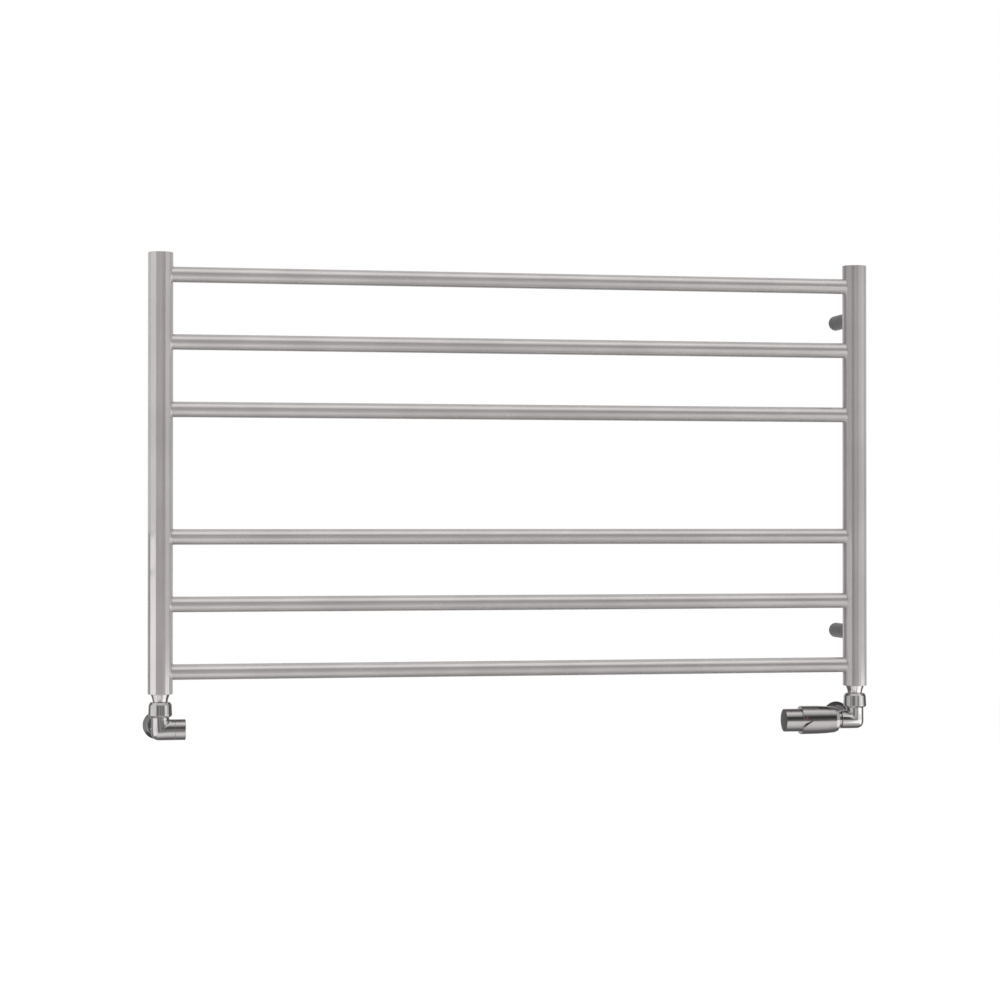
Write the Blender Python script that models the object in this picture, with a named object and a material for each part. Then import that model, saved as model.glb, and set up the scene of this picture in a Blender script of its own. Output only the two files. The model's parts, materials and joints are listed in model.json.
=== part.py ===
"""Wall-hung ladder towel rail for central heating, with a lockshield and a thermostatic valve.

World frame: metres, +X along the rails, +Y into the wall, +Z up. The origin lies on the wall,
in the middle of the four brackets. Every dimension below is in millimetres.
"""
import math

import bmesh
import bpy
from mathutils import Matrix, Vector

MM = 0.001
GAP = 0.3

# Ladder frame
OVERALL_WIDTH = 1200.0
UPRIGHT_RADIUS = 20.0
UPRIGHT_WALL = 1.5
RAIL_RADIUS = 12.5
RAIL_WALL = 1.2
RAIL_PITCH = 108.0
MIDDLE_GAP = 204.0
UPRIGHT_OVERHANG = 35.0
WALL_DISTANCE = 100.0
END_PLATE = 3.0
END_EDGE = 0.8
LID_SPIGOT = 6.0
BOSS_SPIGOT = 12.0
RAIL_END_INSET = 12.0
HOLE_REACH = UPRIGHT_RADIUS * 1.2

UPRIGHT_X = OVERALL_WIDTH / 2 - UPRIGHT_RADIUS
RAIL_HEIGHTS = [side * (MIDDLE_GAP / 2 + step * RAIL_PITCH) for side in (1, -1) for step in (0, 1, 2)]
RAIL_HEIGHTS.sort(reverse=True)
TOP_RAIL = RAIL_HEIGHTS[0]
FRAME_TOP = TOP_RAIL + UPRIGHT_OVERHANG
UPRIGHT_BORE = UPRIGHT_RADIUS - UPRIGHT_WALL

# Brackets
POST_RADIUS = 12.5
POST_BORE = 9.7
FOOT_RADIUS = POST_BORE - GAP
FOOT_LENGTH = 20.0
FOOT_HOLE = 2.75
GRUB_RADIUS = 2.0
GRUB_DISTANCE = 10.0
GRUB_KEY = 2.0
GRUB_RECESS = 0.2
POST_END_INSET = 13.0
BRACKET_HEIGHT = TOP_RAIL - RAIL_PITCH / 2

# Air vents
VENT_HEIGHT = FRAME_TOP - 15.0
VENT_RADIUS = 6.0
VENT_SHANK = 4.4
VENT_REACH = 30.0
VENT_PASSAGE = 1.3
VENT_OUTLET = 0.9
VENT_OUTLET_PLACE = 25.5
BLEED_RADIUS = 2.6
BLEED_RUNNING_GAP = 0.15
BLEED_END = VENT_REACH + 2.0
BLEED_SLOT = [(-4, -0.5), (4, -0.5), (4, 0.5), (-4, 0.5)]
BLEED_SLOT_FLOOR = VENT_REACH + 0.6

# Valve joint under each upright, measured from the point where the valve's axes cross
VALVE_DROP = 57.0
VALVE_Z = -FRAME_TOP - VALVE_DROP
THREAD_HALF_INCH = 10.5
TAIL_BORE = 7.0
TAIL_TOP = VALVE_DROP + 10.0
COLUMN_RADIUS = 14.4
COLUMN_TOP = 20.2
BARREL_BACK = COLUMN_RADIUS + GAP
COLUMN_THREAD = 13.1
MOUTH_TOP = 33.4
MOUTH_BORE = 10.0

# Wall pipe behind each valve
PIPE_RADIUS = 7.5
PIPE_BORE = 6.5
BRANCH_RADIUS = 13.0
BRANCH_SHOULDER = 17.0
BRANCH_END = 26.0
HEX_SIDES = 6
ROSETTE_RADIUS = 23.0

# Passages inside both valve bodies
SEAT_PLANE = 4.0
SEAT_RADIUS = 5.0
CHAMBER_END = 16.0
RISE_RADIUS = 4.3
RISE_PLACE = 8.6
INLET_RADIUS = 5.4
INLET_PLACE = -3.4
OVAL_STEPS = 5

# Lockshield side
LOCK_BARREL = 16.7
LOCK_SHOULDER = 22.9
LOCK_STUB = 12.5
LOCK_END = 31.0
CAP_END = 40.0
SPINDLE_KEY = 4.0

# Thermostatic side
HEAD_BRANCH = 15.0
HEAD_BRANCH_END = 25.6
CARRIER_RADIUS = 13.4
SLEEVE_START = 31.4
SLEEVE_END = 96.2
SLEEVE_LARGE = 23.8
SLEEVE_SWELL = [(19.4, SLEEVE_START, 2.0), (21.6, 38.0), (22.8, 51.0), (23.5, 68.0)]
DIAL_RADIUS = 19.1
DIAL_RUNNING_GAP = 0.12
DIAL_START = 70.0
DIAL_END = 124.0
DIAL_INNER = 16.6
CAPSULE_RADIUS = 12.5
NOTCH_TIP = (-79.7, -0.5)
NOTCH_FLANK = [(-96.2, -17.0), (-93.4, -11.0), (-89.0, -6.5)]
NOTCH_NEAR = 12.0
MARK_CENTRE = (-90.4, 0, 4.6)
MARK_RADIUS = 2.0
SPRING_TURNS = 5

FINE = 24
MEDIUM = 16
SMALL = 10
HEAD_SIDES = 32
SMOOTH_ANGLE = math.radians(35)
CORNER_STEPS = 1
TORUS_SIDES = 6
WIRE_SIDES = 5
WIRE_STEPS = 9

X_AXIS = Vector((1, 0, 0))
Y_AXIS = Vector((0, 1, 0))
Z_AXIS = Vector((0, 0, 1))


def clear_scene():
    """Remove whatever the file held before."""
    for existing in list(bpy.data.objects):
        bpy.data.objects.remove(existing, do_unlink=True)


def surface(name, colour, roughness, metallic):
    """Return a Principled material of one colour."""
    made = bpy.data.materials.new(name)
    made.use_nodes = True
    shader = made.node_tree.nodes["Principled BSDF"]
    shader.inputs["Base Color"].default_value = (*colour, 1.0)
    shader.inputs["Roughness"].default_value = roughness
    shader.inputs["Metallic"].default_value = metallic
    made.diffuse_color = (*colour, 1.0)
    return made


def rounded(corners):
    """Return an outline in which each corner with a third value is rounded to that radius."""
    points = []
    for index, corner in enumerate(corners):
        here = Vector(corner[:2])
        if len(corner) == 2:
            points.append(tuple(here))
            continue
        radius = corner[2]
        before = (Vector(corners[index - 1][:2]) - here).normalized()
        after = (Vector(corners[(index + 1) % len(corners)][:2]) - here).normalized()
        half_angle = before.angle(after) / 2
        centre = here + (before + after).normalized() * radius / math.sin(half_angle)
        setback = radius / math.tan(half_angle)
        first = here + before * setback - centre
        last = here + after * setback - centre
        start = math.atan2(first.y, first.x)
        sweep = math.remainder(math.atan2(last.y, last.x) - start, math.tau)
        for step in range(CORNER_STEPS + 1):
            angle = start + sweep * step / CORNER_STEPS
            points.append((centre.x + radius * math.cos(angle), centre.y + radius * math.sin(angle)))
    return points


def join_rings(mesh, lower, upper):
    """Fill the band between two rings; a ring of one vertex is a pole on the axis."""
    if len(lower) == 1 and len(upper) == 1:
        return
    if min(len(lower), len(upper)) == 1 and lower[0].co.z == upper[0].co.z:
        mesh.faces.new(max(lower, upper, key=len))
        return
    count = max(len(lower), len(upper))
    for index in range(count):
        following = (index + 1) % count
        if len(lower) == 1:
            mesh.faces.new((lower[0], upper[following], upper[index]))
        elif len(upper) == 1:
            mesh.faces.new((lower[index], lower[following], upper[0]))
        else:
            mesh.faces.new((lower[index], lower[following], upper[following], upper[index]))


def turned(corners, segments):
    """Spin a closed outline of (radius, height) corners about local Z."""
    mesh = bmesh.new()
    rings = []
    for radius, height in rounded(corners):
        if radius == 0:
            rings.append([mesh.verts.new((0, 0, height))])
            continue
        ring = []
        for step in range(segments):
            angle = math.tau * step / segments
            ring.append(mesh.verts.new((radius * math.cos(angle), radius * math.sin(angle), height)))
        rings.append(ring)
    for index, ring in enumerate(rings):
        join_rings(mesh, ring, rings[(index + 1) % len(rings)])
    unused = [vertex for vertex in mesh.verts if not vertex.link_faces]
    bmesh.ops.delete(mesh, geom=unused, context="VERTS")
    bmesh.ops.recalc_face_normals(mesh, faces=mesh.faces[:])
    return mesh


def tube(outer, inner, low, high):
    """Return the outline of a plain tube."""
    return [(inner, low), (outer, low), (outer, high), (inner, high)]


def rod(radius, low, high):
    """Return the outline of a plain solid rod."""
    return [(0, low), (radius, low), (radius, high), (0, high)]


def torus(ring_radius, section_radius, centre_height):
    """Return the outline of a round-section ring."""
    outline = []
    for step in range(TORUS_SIDES):
        angle = math.tau * step / TORUS_SIDES
        radius = ring_radius + section_radius * math.cos(angle)
        outline.append((radius, centre_height + section_radius * math.sin(angle)))
    return outline


def prism(points, low, high):
    """Extrude a closed polygon of (x, y) points from low to high along local Z."""
    mesh = bmesh.new()
    bottom = [mesh.verts.new((x, y, low)) for x, y in points]
    top = [mesh.verts.new((x, y, high)) for x, y in points]
    join_rings(mesh, bottom, top)
    mesh.faces.new(bottom)
    mesh.faces.new(top)
    bmesh.ops.recalc_face_normals(mesh, faces=mesh.faces[:])
    return mesh


def coil(ring_radius, wire_radius, low, high, turns):
    """Return a closed helical wire between two heights."""
    steps = round(turns * WIRE_STEPS)
    mesh = bmesh.new()
    rings = []
    for step in range(steps + 1):
        angle = math.tau * step / WIRE_STEPS
        height = low + (high - low) * step / steps
        outward = Vector((math.cos(angle), math.sin(angle), 0))
        centre = outward * ring_radius + Z_AXIS * height
        ring = []
        for side in range(WIRE_SIDES):
            around = math.tau * side / WIRE_SIDES
            offset = (outward * math.cos(around) + Z_AXIS * math.sin(around)) * wire_radius
            ring.append(mesh.verts.new(centre + offset))
        rings.append(ring)
    for lower, upper in zip(rings, rings[1:]):
        join_rings(mesh, lower, upper)
    mesh.faces.new(rings[0])
    mesh.faces.new(rings[-1])
    bmesh.ops.recalc_face_normals(mesh, faces=mesh.faces[:])
    return mesh


def add_object(name, mesh, base, direction, parent):
    """Add a mesh built along local Z, with its origin at base and its Z turned to direction."""
    bmesh.ops.scale(mesh, vec=(MM, MM, MM), verts=mesh.verts[:])
    data = bpy.data.meshes.new(name)
    mesh.to_mesh(data)
    mesh.free()
    made = bpy.data.objects.new(name, data)
    made.location = Vector(base) * MM
    made.rotation_mode = "QUATERNION"
    made.rotation_quaternion = Z_AXIS.rotation_difference(Vector(direction))
    made.parent = parent
    bpy.context.scene.collection.objects.link(made)
    return made


def piece(name, mesh, material, base=(0, 0, 0), direction=Z_AXIS, parent=None):
    """Add one sub-part with its own material, shaded smooth apart from its sharp edges."""
    made = add_object(name, mesh, base, direction, parent)
    made.data.materials.append(material)
    made.data.shade_smooth()
    made.data.set_sharp_from_angle(angle=SMOOTH_ANGLE)
    return made


def combine(target, operation, mesh, base=(0, 0, 0), direction=Z_AXIS):
    """Join a hidden helper solid to the target, or cut it away."""
    name = f"{target.name}_{operation.lower()}_{len(target.modifiers)}"
    helper = add_object(name, mesh, base, direction, target.parent)
    helper.hide_render = True
    helper.display_type = "WIRE"
    boolean = target.modifiers.new(name, "BOOLEAN")
    boolean.operation = operation
    boolean.solver = "EXACT"
    boolean.object = helper


def assembly(name, location):
    """Add an empty that carries one assembly."""
    made = bpy.data.objects.new(name, None)
    made.location = Vector(location) * MM
    bpy.context.scene.collection.objects.link(made)
    return made


def merged(meshes):
    """Return one mesh holding several separate closed solids."""
    whole = bmesh.new()
    for part in meshes:
        holder = bpy.data.meshes.new("holder")
        part.to_mesh(holder)
        part.free()
        whole.from_mesh(holder)
        bpy.data.meshes.remove(holder)
    return whole


def placed(mesh, base, direction):
    """Return the mesh moved so that its Z points along direction from base."""
    turn = Z_AXIS.rotation_difference(Vector(direction)).to_matrix().to_4x4()
    bmesh.ops.transform(mesh, matrix=Matrix.Translation(base) @ turn, verts=mesh.verts[:])
    return mesh


def hexagon(across_flats):
    """Return the corners of a hexagon."""
    corner = across_flats / math.sqrt(3)
    angles = [math.tau * k / HEX_SIDES for k in range(HEX_SIDES)]
    return [(corner * math.cos(angle), corner * math.sin(angle)) for angle in angles]


def make_upright(label, inward, parent, steel):
    """Round header tube with a hole for each rail and one for the air vent."""
    end = FRAME_TOP - END_PLATE - GAP
    outline = tube(UPRIGHT_RADIUS, UPRIGHT_BORE, -end, end)
    upright = piece(f"{label}_upright", turned(outline, FINE), steel, parent=parent)
    holes = []
    for height in RAIL_HEIGHTS:
        hole = turned(rod(RAIL_RADIUS + GAP, 0, HOLE_REACH), MEDIUM)
        holes.append(placed(hole, (0, 0, height), (inward, 0, 0)))
    vent_hole = turned(rod(VENT_SHANK + GAP, 0, HOLE_REACH), SMALL)
    holes.append(placed(vent_hole, (0, 0, VENT_HEIGHT), Y_AXIS))
    combine(upright, "DIFFERENCE", merged(holes))


def make_upright_ends(label, parent, steel):
    """Flat welded lid on top, and the threaded boss that takes the valve at the bottom."""
    plug_radius = UPRIGHT_BORE - GAP
    inner_face = FRAME_TOP - END_PLATE
    lid_low = inner_face - LID_SPIGOT
    lid = [(0, lid_low), (plug_radius, lid_low), (plug_radius, inner_face)]
    lid += [(UPRIGHT_RADIUS, inner_face), (UPRIGHT_RADIUS, FRAME_TOP, END_EDGE), (0, FRAME_TOP)]
    piece(f"{label}_top_cap", turned(lid, FINE), steel, parent=parent)
    hole = THREAD_HALF_INCH + GAP
    boss_low = inner_face - BOSS_SPIGOT
    boss = [(hole, boss_low), (plug_radius, boss_low), (plug_radius, inner_face)]
    boss += [(UPRIGHT_RADIUS, inner_face), (UPRIGHT_RADIUS, FRAME_TOP, END_EDGE), (hole, FRAME_TOP)]
    piece(f"{label}_bottom_boss", turned(boss, FINE), steel, direction=-Z_AXIS, parent=parent)


def make_rails(parent, steel):
    """Six cross tubes, each ending inside the uprights, numbered from the top."""
    half_length = UPRIGHT_X - RAIL_END_INSET
    for number, height in enumerate(RAIL_HEIGHTS, start=1):
        outline = tube(RAIL_RADIUS, RAIL_RADIUS - RAIL_WALL, -half_length, half_length)
        base = (0, -WALL_DISTANCE, height)
        piece(f"rail_{number}", turned(outline, MEDIUM), steel, base, X_AXIS, parent)


def make_bracket(label, x, z, parent, dark, steel):
    """Tubular post welded to the upright, the foot on the wall inside it, and its grub screw."""
    reach = WALL_DISTANCE - POST_END_INSET
    post = piece(
        f"{label}_bracket_post", turned(tube(POST_RADIUS, POST_BORE, -reach, -GAP), MEDIUM),
        dark, (x, 0, z), Y_AXIS, parent,
    )
    saddle = turned(rod(UPRIGHT_RADIUS + GAP, -POST_RADIUS * 2, POST_RADIUS * 2), FINE)
    combine(post, "DIFFERENCE", saddle, (x, -WALL_DISTANCE, z))
    grub_hole = turned(rod(GRUB_RADIUS + GAP, FOOT_RADIUS - 2, POST_RADIUS + 2), SMALL)
    combine(post, "DIFFERENCE", grub_hole, (x, -GRUB_DISTANCE, z), -Z_AXIS)

    foot = [(FOOT_HOLE, 0), (FOOT_RADIUS, 0), (FOOT_RADIUS, -FOOT_LENGTH)]
    foot += [(FOOT_HOLE * 2, -FOOT_LENGTH), (FOOT_HOLE, -FOOT_LENGTH + FOOT_HOLE)]
    piece(f"{label}_wall_foot", turned(foot, MEDIUM), steel, (x, 0, z), Y_AXIS, parent)

    grub = piece(
        f"{label}_grub_screw", turned(rod(GRUB_RADIUS, FOOT_RADIUS + 0.1, POST_RADIUS - GRUB_RECESS), SMALL),
        steel, (x, -GRUB_DISTANCE, z), -Z_AXIS, parent,
    )
    socket = prism(hexagon(GRUB_KEY), POST_RADIUS - GRUB_KEY, POST_RADIUS + 1)
    combine(grub, "DIFFERENCE", socket, (x, -GRUB_DISTANCE, z), -Z_AXIS)


def make_air_vent(label, x, parent, chrome):
    """Air vent at the back of an upright's top end, with a slotted bleed screw in it."""
    axis_point = (x, -WALL_DISTANCE, VENT_HEIGHT)
    vent = piece(
        f"{label}_air_vent", turned([(0, 14), (VENT_RADIUS, 14), (VENT_RADIUS, VENT_REACH, 0.8),
                                     (0, VENT_REACH)], MEDIUM),
        chrome, axis_point, Y_AXIS, parent,
    )
    saddle = turned(rod(UPRIGHT_RADIUS + GAP, -VENT_RADIUS * 2, VENT_RADIUS * 2), FINE)
    combine(vent, "DIFFERENCE", saddle, axis_point)
    combine(vent, "UNION", turned(rod(VENT_SHANK, 15, 24), SMALL), axis_point, Y_AXIS)
    combine(vent, "DIFFERENCE", turned(rod(VENT_PASSAGE, 10, 24), SMALL), axis_point, Y_AXIS)
    bore = BLEED_RADIUS + BLEED_RUNNING_GAP
    combine(vent, "DIFFERENCE", turned(rod(bore, 23, 34), SMALL), axis_point, Y_AXIS)
    outlet_base = (x, -WALL_DISTANCE + VENT_OUTLET_PLACE, VENT_HEIGHT)
    combine(vent, "DIFFERENCE", turned(rod(VENT_OUTLET, 0, 10), 12), outlet_base, -Z_AXIS)

    screw_outline = [(0, 23.4), (1.0, 23.4), (BLEED_RADIUS, 25.0), (BLEED_RADIUS, BLEED_END, 0.4)]
    screw_outline += [(0, BLEED_END)]
    screw = piece(
        f"{label}_bleed_screw", turned(screw_outline, SMALL), chrome, axis_point, Y_AXIS, parent,
    )
    slot = prism(BLEED_SLOT, BLEED_SLOT_FLOOR, BLEED_END + 1)
    combine(screw, "DIFFERENCE", slot, axis_point, Y_AXIS)


def make_tail_set(label, parent, chrome, rubber):
    """Union tail with its seal, the cone collar under the upright, and the union nut."""
    nose = MOUTH_BORE - 0.8
    groove = nose - 1.1
    tail = [(TAIL_BORE, 29.5), (nose, 29.5), (nose, 30.4), (groove, 30.4), (groove, 32.6)]
    tail += [(nose, 32.6), (nose, 33.7), (12.7, 33.7), (12.7, 37.7), (THREAD_HALF_INCH, 37.7)]
    tail += [(THREAD_HALF_INCH, TAIL_TOP), (TAIL_BORE, TAIL_TOP)]
    piece(f"{label}_union_tail", turned(tail, MEDIUM), chrome, parent=parent)
    seal = torus(groove + 0.95, 0.7, 31.5)
    piece(f"{label}_tail_seal", turned(seal, MEDIUM), rubber, parent=parent)

    collar_bore = THREAD_HALF_INCH + GAP
    collar = [(collar_bore, 44.6), (11.9, 44.6), (12.6, 49.0), (15.2, VALVE_DROP - GAP)]
    collar += [(collar_bore, VALVE_DROP - GAP)]
    piece(f"{label}_tail_collar", turned(collar, FINE), chrome, parent=parent)

    nut_bore = COLUMN_THREAD + GAP
    nut = [(nut_bore, 20.9), (16.8, 20.9), (19.2, 23.2), (18.3, 40.2), (15.8, 44.2), (11.0, 44.2)]
    nut += [(11.0, 38.0), (nut_bore, 38.0)]
    piece(f"{label}_union_nut", turned(nut, FINE), chrome, parent=parent)


def barrel_outline(radius, shoulder, stub, end):
    """Outline of a valve's side barrel: an oval closed end, then straight to its mouth."""
    outline = []
    for step in range(OVAL_STEPS + 1):
        angle = math.pi / 2 * step / OVAL_STEPS
        outline.append((radius * math.sin(angle), -BARREL_BACK * math.cos(angle)))
    outline[0] = (0, -BARREL_BACK)
    outline += [(radius, shoulder, 0.5), (stub, shoulder), (stub, end), (0, end)]
    return outline


def make_body(label, outline, chamber, mouth_bore, mouth_end, toward, parent, chrome):
    """Corner valve body: side barrel, upright column and rear branch, bored through."""
    side = Vector((toward, 0, 0))
    body = piece(f"{label}_valve_body", turned(outline, FINE), chrome, direction=side, parent=parent)
    column = [(0, 0), (COLUMN_RADIUS, 0), (COLUMN_RADIUS, COLUMN_TOP), (COLUMN_THREAD, COLUMN_TOP)]
    column += [(COLUMN_THREAD, MOUTH_TOP), (0, MOUTH_TOP)]
    combine(body, "UNION", turned(column, FINE))
    branch = [(0, 0), (BRANCH_RADIUS, 0), (BRANCH_RADIUS, BRANCH_SHOULDER)]
    branch += [(THREAD_HALF_INCH, BRANCH_SHOULDER), (THREAD_HALF_INCH, BRANCH_END), (0, BRANCH_END)]
    combine(body, "UNION", turned(branch, MEDIUM), direction=Y_AXIS)

    combine(body, "DIFFERENCE", turned(rod(MOUTH_BORE, 15.2, MOUTH_TOP + 2), MEDIUM))
    chamber_cut = [(0, SEAT_PLANE), (chamber, SEAT_PLANE), (chamber, CHAMBER_END)]
    chamber_cut += [(mouth_bore, CHAMBER_END), (mouth_bore, mouth_end + 2), (0, mouth_end + 2)]
    combine(body, "DIFFERENCE", turned(chamber_cut, MEDIUM), direction=side)
    rise = turned(rod(RISE_RADIUS, 5, 16), SMALL)
    combine(body, "DIFFERENCE", rise, side * RISE_PLACE)
    seat = turned(rod(SEAT_RADIUS, 0.4, SEAT_PLANE + 1), MEDIUM)
    combine(body, "DIFFERENCE", seat, direction=side)
    inlet = turned(rod(INLET_RADIUS, -3, 15), SMALL)
    combine(body, "DIFFERENCE", inlet, side * INLET_PLACE, Y_AXIS)
    socket_bore = PIPE_RADIUS + GAP
    socket = [(0, 14.2), (socket_bore, 14.2), (socket_bore, 23), (socket_bore + 3.0, BRANCH_END + 1)]
    socket += [(0, BRANCH_END + 1)]
    combine(body, "DIFFERENCE", turned(socket, MEDIUM), direction=Y_AXIS)


def make_wall_pipe(label, parent, chrome, brass, dark):
    """Pipe to the wall with its olive, compression nut and wall rosette."""
    pipe = tube(PIPE_RADIUS, PIPE_BORE, 15.0, WALL_DISTANCE)
    piece(f"{label}_wall_pipe", turned(pipe, MEDIUM), chrome, direction=Y_AXIS, parent=parent)
    inner = PIPE_RADIUS + GAP
    olive = [(inner, 24.4), (8.4, 24.4), (9.6, 27.4), (8.4, 30.4), (inner, 30.4)]
    piece(f"{label}_olive", turned(olive, MEDIUM), brass, direction=Y_AXIS, parent=parent)

    nut_outline = [(0, 17.5), (13.2, 17.5), (14.4, 18.3), (14.4, 31.5), (12.6, 34.0), (0, 34.0)]
    nut = piece(
        f"{label}_compression_nut", turned(nut_outline, HEX_SIDES), chrome, direction=Y_AXIS, parent=parent,
    )
    thread = THREAD_HALF_INCH + GAP
    bore = [(0, 16.0), (thread, 16.0), (thread, 27.8), (8.2, 31.0), (inner, 31.2), (inner, 36), (0, 36)]
    combine(nut, "DIFFERENCE", turned(bore, MEDIUM), direction=Y_AXIS)

    rosette = [(inner, 0), (9.0, 0), (12.6, -6.8), (21.6, -1.6), (22.0, 0), (ROSETTE_RADIUS, 0)]
    rosette += [(ROSETTE_RADIUS, -0.8), (17.4, -8.6), (15.6, -10.0), (inner, -10.0)]
    wall_centre = (0, WALL_DISTANCE, 0)
    piece(f"{label}_rosette", turned(rosette, FINE), dark, wall_centre, Y_AXIS, parent)


def make_lockshield(parent, chrome, brass, rubber):
    """Balancing valve: body, gland, turning spindle, sliding cone, seal and pull-off cap."""
    barrel = barrel_outline(LOCK_BARREL, LOCK_SHOULDER, LOCK_STUB, LOCK_END)
    gland_bore = 10.0
    make_body("left", barrel, 9.0, gland_bore, LOCK_END, 1, parent, chrome)
    gland = [(5.8, 17.0), (gland_bore - GAP, 17.0), (gland_bore - GAP, LOCK_END), (5.6, LOCK_END)]
    gland += [(5.6, 28.0), (3.3, 28.0), (3.3, 26.4), (5.8, 26.4)]
    piece("lockshield_gland", turned(gland, MEDIUM), brass, direction=X_AXIS, parent=parent)
    cone = [(0, 5.0), (4.2, 5.0), (6.6, 7.6), (6.6, 10.2), (5.0, 10.8), (5.0, 21.5)]
    cone += [(3.2, 21.5), (3.2, 11.5), (0, 11.5)]
    piece("lockshield_cone", turned(cone, SMALL), brass, direction=X_AXIS, parent=parent)
    spindle_outline = [(0, 14.0), (2.9, 14.0), (2.9, 23.7), (5.5, 23.7), (5.5, 26.1)]
    spindle_outline += [(3.15, 26.1), (3.15, 35.0), (0, 35.0)]
    spindle = piece(
        "lockshield_spindle", turned(spindle_outline, SMALL), brass, direction=X_AXIS, parent=parent,
    )
    combine(spindle, "DIFFERENCE", prism(hexagon(SPINDLE_KEY), 31.0, 36.0), direction=X_AXIS)
    seal = torus(4.45, 0.95, 29.4)
    piece("lockshield_seal", turned(seal, SMALL), rubber, direction=X_AXIS, parent=parent)
    cap = [(0, 36.8), (LOCK_STUB + GAP, 36.8), (LOCK_STUB + GAP, LOCK_SHOULDER + 0.4)]
    cap += [(LOCK_BARREL, LOCK_SHOULDER + 0.4, 0.5), (LOCK_BARREL, CAP_END, 0.8), (0, CAP_END)]
    piece("lockshield_cap", turned(cap, FINE), chrome, direction=X_AXIS, parent=parent)


def make_head_sleeve(parent, chrome, red):
    """Swelling sleeve of the thermostatic head, with its sighting notch and index mark."""
    head = -X_AXIS
    bore = CARRIER_RADIUS + GAP
    dial_bore = DIAL_RADIUS + DIAL_RUNNING_GAP
    sleeve = [(bore, SLEEVE_START)] + SLEEVE_SWELL + [(SLEEVE_LARGE, SLEEVE_END, 1.2)]
    sleeve += [(dial_bore, SLEEVE_END), (dial_bore, DIAL_START - 2), (15.0, DIAL_START - 8)]
    sleeve += [(15.0, 35.0), (bore, 35.0)]
    made = piece("head_sleeve", turned(sleeve, HEAD_SIDES), chrome, direction=head, parent=parent)
    notch = [NOTCH_TIP, (-SLEEVE_END - 2, 1.0), (-SLEEVE_END - 2, -21.0)] + NOTCH_FLANK
    turn = Matrix.Rotation(math.radians(90), 4, "X")
    notch_mesh = prism(notch, NOTCH_NEAR, SLEEVE_LARGE + 4)
    bmesh.ops.transform(notch_mesh, matrix=turn, verts=notch_mesh.verts[:])
    combine(made, "DIFFERENCE", notch_mesh)
    pocket = turned(rod(MARK_RADIUS + GAP, 21.8, 27.0), SMALL)
    combine(made, "DIFFERENCE", pocket, MARK_CENTRE, -Y_AXIS)
    mark = [(0, 22.1), (MARK_RADIUS, 22.1), (MARK_RADIUS, 23.3, 0.3), (0, 23.3)]
    piece("index_mark", turned(mark, SMALL), red, MARK_CENTRE, -Y_AXIS, parent)


def make_thermostat(parent, chrome, brass, spring_steel, plastic, rubber, red):
    """Thermostatic valve: body, insert with plunger and spring, carrier, sensor and head."""
    head = -X_AXIS
    barrel = barrel_outline(HEAD_BRANCH, HEAD_BRANCH_END, HEAD_BRANCH - 1.2, HEAD_BRANCH_END + 0.1)
    insert_bore = 10.5
    make_body("right", barrel, 9.5, insert_bore, HEAD_BRANCH_END, -1, parent, chrome)
    nose = 9.4
    insert = [(6.5, 16.3), (insert_bore - GAP, 16.3), (insert_bore - GAP, 26.0), (nose, 26.0)]
    insert += [(nose, 40.0), (2.3, 40.0), (2.3, 22.0), (6.5, 22.0)]
    piece("valve_insert", turned(insert, MEDIUM), brass, direction=head, parent=parent)
    plunger = [(0, 4.85), (7.5, 4.85), (7.5, 7.8), (2.15, 7.8), (2.15, 44.0), (0, 44.0)]
    piece("valve_plunger", turned(plunger, SMALL), rubber, direction=head, parent=parent)
    spring = coil(4.6, 0.5, 8.7, 21.3, SPRING_TURNS)
    piece("return_spring", spring, spring_steel, direction=head, parent=parent)
    carrier = [(nose + GAP, HEAD_BRANCH_END + 0.4), (CARRIER_RADIUS, HEAD_BRANCH_END + 0.4)]
    carrier += [(CARRIER_RADIUS, 36.0), (14.2, 37.0), (14.2, 74.0), (CAPSULE_RADIUS + GAP, 74.0)]
    carrier += [(CAPSULE_RADIUS + GAP, 46.0), (nose + GAP, 44.0)]
    piece("head_carrier", turned(carrier, MEDIUM), chrome, direction=head, parent=parent)
    capsule = [(0, 44.3), (3.5, 44.3), (3.5, 56.0), (CAPSULE_RADIUS, 56.0, 1.0)]
    capsule += [(CAPSULE_RADIUS, 108.0, 2.0), (0, 108.0)]
    piece("sensor_capsule", turned(capsule, MEDIUM), brass, direction=head, parent=parent)
    make_head_sleeve(parent, chrome, red)
    dial = [(DIAL_INNER, DIAL_START), (DIAL_RADIUS, DIAL_START), (DIAL_RADIUS, DIAL_END, 0.5)]
    dial += [(18.3, DIAL_END), (18.3, 121.0), (DIAL_INNER, 121.0)]
    piece("head_dial", turned(dial, HEAD_SIDES), chrome, direction=head, parent=parent)
    end_cap = [(0, 121.3), (18.0, 121.3), (18.0, 124.0), (16.0, 124.7), (9.0, 125.3), (0, 125.5)]
    piece("dial_end_cap", turned(end_cap, FINE), plastic, direction=head, parent=parent)


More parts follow.
